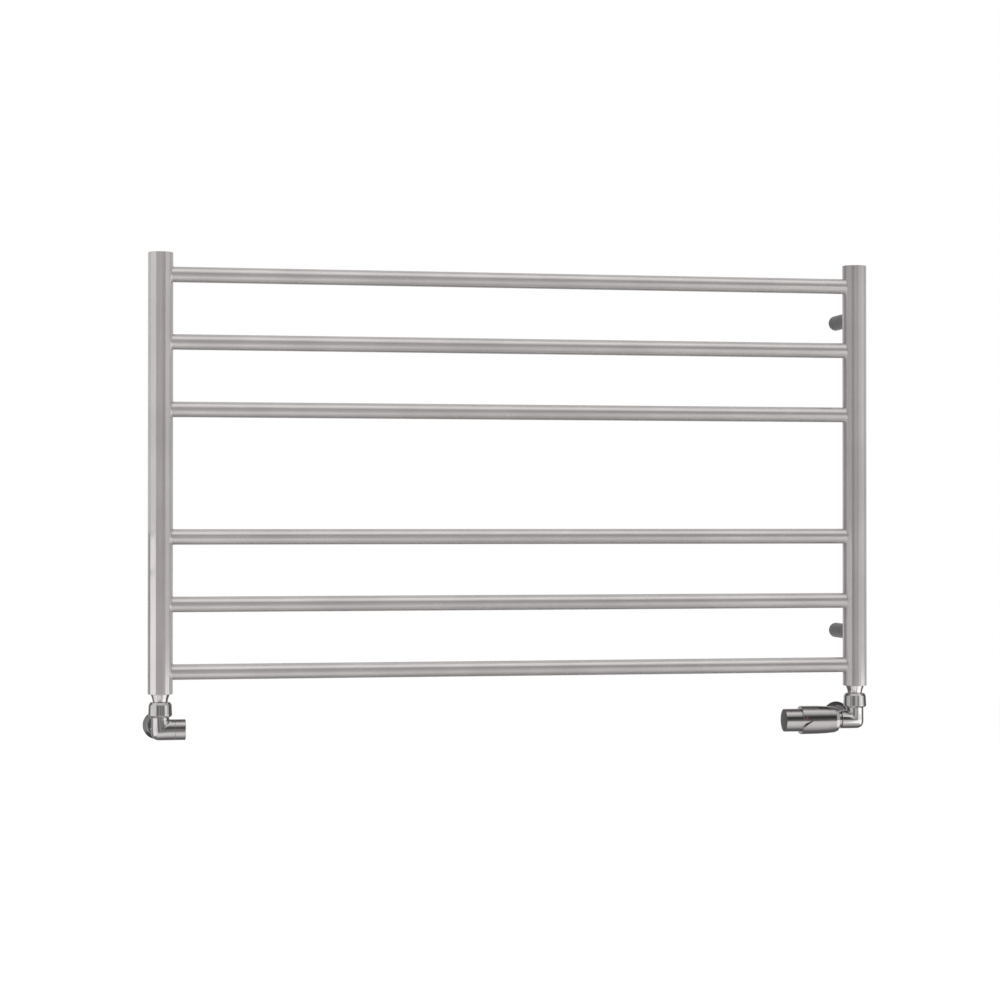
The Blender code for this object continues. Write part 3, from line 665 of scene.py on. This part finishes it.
def build_upright(label, inward):
    """Header tube with its lid, bottom boss and the polished beads of its joints."""
    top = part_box(f"{label}_top_cap")[1].z / MM
    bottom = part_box(f"{label}_bottom_boss")[0].z / MM
    centre = middle(f"{label}_top_cap")
    axis_point = Vector((centre.x, centre.y, 0))
    outline = [
        (0, top), (UPRIGHT_RADIUS, top, END_EDGE), (UPRIGHT_RADIUS, bottom, END_EDGE),
        (TAIL_HOLE, bottom), (TAIL_HOLE, bottom + BOSS_DEPTH), (UPRIGHT_BORE, bottom + BOSS_DEPTH),
        (UPRIGHT_BORE, top - LID_THICKNESS), (0, top - LID_THICKNESS),
    ]
    turned_piece(
        f"{label}_header", outline, axis_point, Z_AXIS, upright_steel,
        stands_for=[f"{label}_upright", f"{label}_top_cap", f"{label}_bottom_boss"],
        sides=TUBE_SIDES,
    )
    for number in RAIL_NUMBERS:
        point = axis_point + Z_AXIS * middle(f"rail_{number}").z
        weld_bead(
            f"{label}_bead_{number}", point, (inward, 0, 0), RAIL_RADIUS, upright_steel
        )
    return axis_point


def build_rail(number):
    """Cross tube whose ends lie inside the uprights."""
    node = f"rail_{number}"
    low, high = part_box(node)
    half = (high.x - low.x) / 2 / MM
    outline = [(RAIL_BORE, -half), (RAIL_RADIUS, -half), (RAIL_RADIUS, half), (RAIL_BORE, half)]
    turned_piece(
        f"{node}_tube", outline, middle(node), X_AXIS, rail_steel,
        stands_for=[node], sides=TUBE_SIDES,
    )


def build_bracket(place_name, axis_point):
    """Standoff post, its bead, the wall foot in its end and the grub screw."""
    node = f"{place_name}_bracket_post"
    height = middle(node).z
    origin = axis_point + Z_AXIS * height
    reach = (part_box(node)[1].y - axis_point.y) / MM
    outline = [
        (POST_BORE, POST_START), (POST_RADIUS, POST_START), (POST_RADIUS, reach, 0.5),
        (POST_BORE, reach, 0.3),
    ]
    post = solid(f"{place_name}_post", turned(outline, TUBE_SIDES), origin, Y_AXIS)
    grub_at = middle(f"{place_name}_grub_screw")
    grub_origin = Vector((grub_at.x, grub_at.y, height))
    combine(post, "DIFFERENCE", rod(*GRUB_HOLE), grub_origin, -Z_AXIS)
    # The post and its bead are dark grey for painted shade.
    finish_piece(post, painted_shade_post_metal, stands_for=[node])
    weld_bead(f"{place_name}_bead", origin, Y_AXIS, POST_RADIUS, painted_shade_post_metal)

    foot_low, foot_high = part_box(f"{place_name}_wall_foot")
    length = (foot_high.y - foot_low.y) / MM
    foot = [
        (FOOT_HOLE, 0), (FOOT_RADIUS, 0, 0.4), (FOOT_RADIUS, -length, 0.6),
        (2 * FOOT_HOLE, -length), (FOOT_HOLE, -length + FOOT_HOLE),
    ]
    foot_origin = Vector((origin.x, foot_high.y, height))
    turned_piece(
        f"{place_name}_foot", foot, foot_origin, Y_AXIS, rail_steel,
        stands_for=[f"{place_name}_wall_foot"],
    )
    grub_shape = turned(GRUB_OUTLINE, SMALL_SIDES)
    grub = solid(f"{place_name}_grub", grub_shape, grub_origin, -Z_AXIS)
    combine(grub, "DIFFERENCE", prism(hexagon(GRUB_KEY), *GRUB_SOCKET), grub_origin, -Z_AXIS)
    finish_piece(grub, rail_steel, stands_for=[f"{place_name}_grub_screw"])


def build_vent(label, axis_point):
    """Air vent behind the upright's top, with its slotted screw."""
    node = f"{label}_bleed_screw"
    origin = axis_point + Z_AXIS * middle(node).z
    vent = solid(f"{label}_vent", turned(VENT_OUTLINE), origin, Y_AXIS)
    outlet = Vector((origin.x, origin.y + VENT_OUTLET_REACH * MM, origin.z))
    combine(vent, "DIFFERENCE", rod(*VENT_OUTLET), outlet, -Z_AXIS)
    finish_piece(vent, chrome, stands_for=[f"{label}_air_vent"])
    weld_bead(f"{label}_vent_bead", origin, Y_AXIS, VENT_RADIUS, chrome)
    screw = solid(f"{label}_vent_screw", turned(VENT_SCREW, SMALL_SIDES), origin, Y_AXIS)
    combine(screw, "DIFFERENCE", prism(SCREW_SLOT, *SCREW_SLOT_ENDS), origin, Y_AXIS)
    finish_piece(screw, chrome, node, [node])


# ---------------------------------------------------------------- valves


def thread(radius, low, high):
    """Outline of a screw thread drawn as rings."""
    points = []
    count = int((high - low) / THREAD_PITCH)
    root = radius - THREAD_DEPTH
    for turn in range(count):
        start = low + turn * THREAD_PITCH
        points.append((root, start))
        points += [(radius, start + THREAD_PITCH * share) for share in THREAD_CREST]
    return points + [(root, low + count * THREAD_PITCH)]


def elbow(name, origin, toward, barrel, tail):
    """Mitred corner body: the column turns into the side barrel, which goes on as tail says."""
    mesh = bmesh.new()
    side = Vector((toward, 0, 0))
    angles = [math.tau * step / TUBE_SIDES for step in range(TUBE_SIDES)]

    def level_ring(radius, height):
        """Ring about the column's axis."""
        if radius == 0:
            return [mesh.verts.new(Z_AXIS * height)]
        return [
            mesh.verts.new(
                side * radius * math.cos(a) + Y_AXIS * radius * math.sin(a) + Z_AXIS * height
            )
            for a in angles
        ]

    def upright_ring(radius, reach):
        """Ring about the side barrel's axis."""
        if radius == 0:
            return [mesh.verts.new(side * reach)]
        return [
            mesh.verts.new(
                side * reach + Y_AXIS * radius * math.sin(a) + Z_AXIS * radius * math.cos(a)
            )
            for a in angles
        ]

    def bend_points(angle):
        """Path of one line along the body, from the inner corner's height to its reach."""
        cosine = math.cos(angle)
        bend = INNER_BEND + (OUTER_BEND - INNER_BEND) * max(0.0, -cosine) ** BEND_FADE
        corner = Vector((COLUMN_RADIUS * cosine, barrel * cosine))
        turn = corner + Vector((bend, bend))
        path = []
        high = barrel + INNER_BEND
        for step in range(LEG_STEPS):
            path.append(Vector((corner.x, high + (turn.y - high) * step / LEG_STEPS)))
        for step in range(BEND_STEPS + 1):
            swing = math.pi / 2 * step / BEND_STEPS
            path.append(turn - Vector((bend * math.cos(swing), bend * math.sin(swing))))
        far = COLUMN_RADIUS + INNER_BEND
        for step in range(1, LEG_STEPS + 1):
            path.append(Vector((turn.x + (far - turn.x) * step / LEG_STEPS, corner.y)))
        lengths = [(after - before).length for before, after in zip(path, path[1:])]
        widths = []
        for step in range(len(path)):
            share = sum(lengths[:step]) / sum(lengths)
            eased = share * share * (3 - 2 * share)
            widths.append(COLUMN_RADIUS + (barrel - COLUMN_RADIUS) * eased)
        return [(point, width * math.sin(angle)) for point, width in zip(path, widths)]

    column = [
        (0, MOUTH_TOP), (COLUMN_THREAD, MOUTH_TOP), (COLUMN_THREAD, COLUMN_TOP),
        (COLUMN_RADIUS, COLUMN_TOP, 0.5), (COLUMN_RADIUS, barrel + COLUMN_FOOT),
    ]
    rings = [level_ring(radius, height) for radius, height in rounded(column)]
    paths = [bend_points(angle) for angle in angles]
    for step in range(len(paths[0])):
        ring = []
        for path in paths:
            point, width = path[step]
            ring.append(mesh.verts.new(side * point.x + Y_AXIS * width + Z_AXIS * point.y))
        rings.append(ring)
    rings += [upright_ring(radius, reach) for radius, reach in rounded(tail)]
    for lower, upper in zip(rings, rings[1:]):
        bridge(mesh, lower, upper)
    bmesh.ops.remove_doubles(mesh, verts=mesh.verts[:], dist=MERGE_DISTANCE)
    bmesh.ops.recalc_face_normals(mesh, faces=mesh.faces[:])
    return solid(name, mesh, origin)


def build_union(label, origin):
    """Tapered collar under the upright, the union nut and the tail between them."""
    turned_piece(
        f"{label}_collar", COLLAR_OUTLINE, origin, Z_AXIS, chrome,
        stands_for=[f"{label}_tail_collar"], sides=TUBE_SIDES,
    )
    turned_piece(
        f"{label}_nut", UNION_NUT_OUTLINE, origin, Z_AXIS, chrome,
        stands_for=[f"{label}_union_nut"], sides=TUBE_SIDES,
    )
    turned_piece(
        f"{label}_tail", TAIL_OUTLINE, origin, Z_AXIS, chrome,
        stands_for=[f"{label}_union_tail"],
    )


def build_wall_side(label, origin):
    """Rear branch, compression nut, pipe and wall rosette."""
    branch = [(0, 1), (BRANCH_RADIUS, 1), (BRANCH_RADIUS, 17.0, 0.5), (BRANCH_THREAD, 17.0)]
    branch += thread(BRANCH_THREAD, 17.6, 25.5)
    branch += [(BRANCH_THREAD, 26.0), (0, 26.0)]
    turned_piece(f"{label}_branch", branch, origin, Y_AXIS, chrome)
    nut_shape = prism(hexagon(HEX_NUT_FLATS), *HEX_NUT_ENDS)
    nut = solid(f"{label}_hex_nut", nut_shape, origin, Y_AXIS)
    combine(nut, "INTERSECT", turned(HEX_NUT_CHAMFER), origin, Y_AXIS)
    combine(nut, "DIFFERENCE", turned(HEX_NUT_BORE), origin, Y_AXIS)
    finish_piece(nut, chrome, stands_for=[f"{label}_compression_nut"])
    wall = (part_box(f"{label}_wall_pipe")[1].y - origin.y) / MM
    pipe = [
        (PIPE_BORE, PIPE_START), (PIPE_RADIUS, PIPE_START), (PIPE_RADIUS, wall), (PIPE_BORE, wall),
    ]
    turned_piece(
        f"{label}_pipe", pipe, origin, Y_AXIS, chrome,
        stands_for=[f"{label}_wall_pipe"],
    )
    wall_point = Vector((origin.x, origin.y + wall * MM, origin.z))
    turned_piece(
        # The rosette's dark colour is painted shade.
        f"{label}_wall_rose", ROSETTE_OUTLINE, wall_point, Y_AXIS, painted_shade_rosette_metal,
        stands_for=[f"{label}_rosette"], sides=TUBE_SIDES,
    )


def build_lockshield(origin):
    """Left valve: body, gland, spindle and the pull-off cap."""
    barrel = LOCKSHIELD_BARREL
    tail = [(barrel, 15.9), (barrel, 22.9, 0.2), (12.0, 22.9)]
    tail += thread(CAP_THREAD, 23.4, 30.4)
    tail += [(12.0, 31.0), (10.0, 31.0), (10.0, 17.0), (0, 17.0)]
    body = elbow("left_corner_body", origin, 1, barrel, tail)
    finish_piece(body, chrome, stands_for=["left_valve_body"])
    turned_piece(
        "lockshield_gland_nut", GLAND_OUTLINE, origin, X_AXIS, brass,
        stands_for=["lockshield_gland"],
    )
    spindle_shape = turned(SPINDLE_OUTLINE, SMALL_SIDES)
    spindle = solid("lockshield_key_spindle", spindle_shape, origin, X_AXIS)
    combine(spindle, "DIFFERENCE", prism(hexagon(SPINDLE_KEY), *SPINDLE_SOCKET), origin, X_AXIS)
    finish_piece(spindle, brass, "lockshield_spindle", ["lockshield_spindle"])
    turned_piece(
        "lockshield_cover", CAP_OUTLINE, origin, X_AXIS, chrome,
        "lockshield_cap", ["lockshield_cap"], TUBE_SIDES,
    )


def build_thermostat(origin):
    """Right valve: body, head carrier, swelling sleeve with its notch, dial and end cap."""
    barrel = THERMOSTAT_BARREL
    tail = [(barrel, 15.9), (barrel, 25.6, 0.6), (10.5, 25.6), (10.5, 17.0), (0, 17.0)]
    body = elbow("right_corner_body", origin, -1, barrel, tail)
    finish_piece(body, chrome, stands_for=["right_valve_body"])
    head = -X_AXIS
    turned_piece(
        "head_carrier_tube", CARRIER_OUTLINE, origin, head, chrome,
        stands_for=["head_carrier"],
    )
    sleeve = solid("head_swelling_sleeve", turned(SLEEVE_OUTLINE, HEAD_SIDES), origin, head)
    notch = prism(NOTCH_OUTLINE, *NOTCH_ENDS)
    stand_up = Matrix.Rotation(math.radians(90), 4, "X")
    bmesh.ops.transform(notch, matrix=stand_up, verts=notch.verts[:])
    combine(sleeve, "DIFFERENCE", notch, origin)
    mark_at = middle("index_mark")
    mark_origin = Vector((mark_at.x, origin.y, mark_at.z))
    combine(sleeve, "DIFFERENCE", rod(*MARK_POCKET), mark_origin, -Y_AXIS)
    finish_piece(sleeve, chrome, stands_for=["head_sleeve"])
    turned_piece(
        "head_index_mark", MARK_OUTLINE, mark_origin, -Y_AXIS, enamel,
        stands_for=["index_mark"], sides=SMALL_SIDES,
    )
    turned_piece(
        "dial_barrel", DIAL_OUTLINE, origin, head, chrome,
        "dial", ["head_dial"], HEAD_SIDES,
    )
    turned_piece(
        "dial_cover", END_CAP_OUTLINE, origin, head, plastic,
        "dial", ["dial_end_cap"], TUBE_SIDES,
    )


def paint_kept_nodes():
    """Give the CAD nodes that stay their procedural materials."""
    for node, look in KEPT_LOOKS.items():
        data = frame["nodes"][node].data
        for index in range(len(data.materials)):
            data.materials[index] = look


def build_towel_rail():
    """Dress the whole frame."""
    for number in RAIL_NUMBERS:
        build_rail(number)
    for label, inward in (("left", 1), ("right", -1)):
        axis_point = build_upright(label, inward)
        for level in ("upper", "lower"):
            build_bracket(f"{level}_{label}", axis_point)
        build_vent(label, axis_point)
        valve = middle(f"{label}_wall_pipe")
        origin = Vector((axis_point.x, axis_point.y, valve.z))
        build_union(label, origin)
        build_wall_side(label, origin)
        if label == "left":
            build_lockshield(origin)
        else:
            build_thermostat(origin)
    paint_kept_nodes()


# ---------------------------------------------------------------- studio


def build_floor():
    """Plain pale floor below the rail."""
    made, nodes, shader, where = new_material("floor_look")
    cloud = nodes.noise(where, 1.5, 2.0)
    colour = nodes.blend(cloud, FLOOR_DARK, FLOOR_LIGHT)
    nodes.tree.links.new(colour, shader.inputs["Base Color"])
    shader.inputs["Roughness"].default_value = 0.9
    shader.inputs["Specular IOR Level"].default_value = 0.1
    mesh = bmesh.new()
    reach = FLOOR_REACH / MM
    corners = [(-reach, -reach), (reach, -reach), (reach, reach), (-reach, reach)]
    mesh.faces.new([mesh.verts.new((x, y, 0)) for x, y in corners])
    floor = solid("floor", mesh, (0, 0, FLOOR_HEIGHT))
    floor.data.materials.append(made)
    floor.visible_glossy = False


def build_world():
    """Studio: white backdrop, and a dark surround with bright panels for reflections."""
    world = bpy.data.worlds.new("studio")
    bpy.context.scene.world = world
    world.use_nodes = True
    nodes = Nodes(world.node_tree)
    background = world.node_tree.nodes["Background"]
    where = nodes.add("ShaderNodeTexCoord").outputs["Generated"]
    parts = nodes.add("ShaderNodeSeparateXYZ", {0: where})
    axes = dict(zip("xyz", parts.outputs))

    def panel(spans, *factors):
        """Brightness of a panel: the product of its spans and of any further factors."""
        factors = [nodes.span(axes[axis], *ends) for axis, *ends in spans] + list(factors)
        level = factors[0]
        for factor in factors[1:]:
            level = nodes.math("MULTIPLY", level, factor)
        return level

    levels = [panel(spans) for spans in WORLD_PANELS]
    low_reach = nodes.span(axes["x"], *LOW_PANEL_REACH)
    low_height = nodes.span(axes["z"], LOW_PANEL_TOP, low_reach)
    low_share = nodes.math("ADD", *(nodes.span(axes["x"], *ends) for ends in LOW_PANEL_SHARES))
    levels.append(panel(LOW_PANEL, low_height, low_share))
    brightest = levels[0]
    for level in levels[1:]:
        brightest = nodes.math("MAXIMUM", brightest, level)
    studio = nodes.blend(brightest, BLACK, PANEL_WHITE)
    studio.node.clamp_factor = False
    rays = nodes.add("ShaderNodeLightPath").outputs
    backdrop = nodes.blend(rays["Is Camera Ray"], (SKY, SKY, SKY), WHITE)
    colour = nodes.blend(rays["Is Glossy Ray"], backdrop, studio)
    world.node_tree.links.new(colour, background.inputs["Color"])


def soft_light(name, place_at, aim_at, size, radiance, receivers=()):
    """Rectangular soft light of a given radiance; with receivers, only they are lit by it."""
    data = bpy.data.lights.new(name, "AREA")
    data.shape = "RECTANGLE"
    data.size, data.size_y = size
    data.energy = radiance * math.pi * size[0] * size[1]
    made = bpy.data.objects.new(name, data)
    made.location = place_at
    aim = Vector(aim_at) - Vector(place_at)
    made.rotation_euler = aim.to_track_quat("-Z", "Y").to_euler()
    made.visible_camera = False
    bpy.context.scene.collection.objects.link(made)
    if receivers:
        group = bpy.data.collections.new(f"{name}_receivers")
        for piece in receivers:
            group.objects.link(piece)
        made.light_linking.receiver_collection = group
    else:
        made.visible_glossy = False


def standing_panel(name, around, azimuths, radiance, receivers):
    """Vertical soft panel seen from the point around between two azimuths, 0 being the front."""
    start, end = [math.radians(azimuth) for azimuth in azimuths]
    facing = (start + end) / 2
    outward = Vector((math.sin(facing), -math.cos(facing), 0))
    low, high = PANEL_HEIGHTS
    centre = Vector((around.x, around.y, (low + high) / 2)) + outward * PANEL_DISTANCE
    width = 2 * PANEL_DISTANCE * math.tan((end - start) / 2)
    soft_light(name, centre, centre - outward, (width, high - low), radiance, receivers)


def receiver_groups():
    """Sort the shown pieces into the groups that have panels of their own."""
    groups = {"rails": [], "left": [], "right": [], "left_valve": [], "right_valve": []}
    for made in bpy.data.objects:
        if made.type != "MESH" or not made.visible_get() or made.name.startswith(UNGROUPED):
            continue
        side = "left" if made.bound_box[0][0] < 0 else "right"
        if made.name.startswith("rail_"):
            groups["rails"].append(made)
        elif made.name.endswith("_header") or "_bead_" in made.name:
            groups[side].append(made)
        else:
            groups[f"{side}_valve"].append(made)
    return groups


def build_lights():
    """Soft key and fill on the camera's side, and soft panels that only one group mirrors."""
    for name, place_at, size, radiance in SOFT_LIGHTS:
        soft_light(name, place_at, AIM_AT, size, radiance)
    groups = receiver_groups()
    tops = {label: middle(f"{label}_top_cap") for label in ("left", "right")}
    for name, low, high, back, radiance in LEFT_PANELS:
        centre = Vector((
            tops["left"].x - LEFT_PANEL_ASIDE, (back - LEFT_PANEL_FRONT) / 2, (low + high) / 2,
        ))
        size = (back + LEFT_PANEL_FRONT, high - low)
        soft_light(name, centre, centre + X_AXIS, size, radiance, groups["left"])
    for group, azimuths, radiance in STANDING_PANELS:
        name = f"{group}_panel_{azimuths[1] + 180}"
        around = tops[group.split("_")[0]]
        standing_panel(name, around, azimuths, radiance, groups[group])
    for name, place_at, size, radiance in RAIL_PANELS:
        soft_light(name, place_at, AIM_AT, size, radiance, groups["rails"])


def build_camera():
    """Camera in front of the rail and to its left, turned towards it."""
    data = bpy.data.cameras.new("camera")
    data.lens = CAMERA_LENS
    data.sensor_width = SENSOR
    data.clip_end = CAMERA_FAR
    made = bpy.data.objects.new("camera", data)
    made.location = CAMERA_PLACE
    made.rotation_euler = (CAMERA_PITCH, 0, CAMERA_YAW)
    bpy.context.scene.collection.objects.link(made)
    bpy.context.scene.camera = made


build_towel_rail()
build_floor()
build_world()
build_lights()
build_camera()
bpy.context.scene.view_settings.view_transform = "Standard"
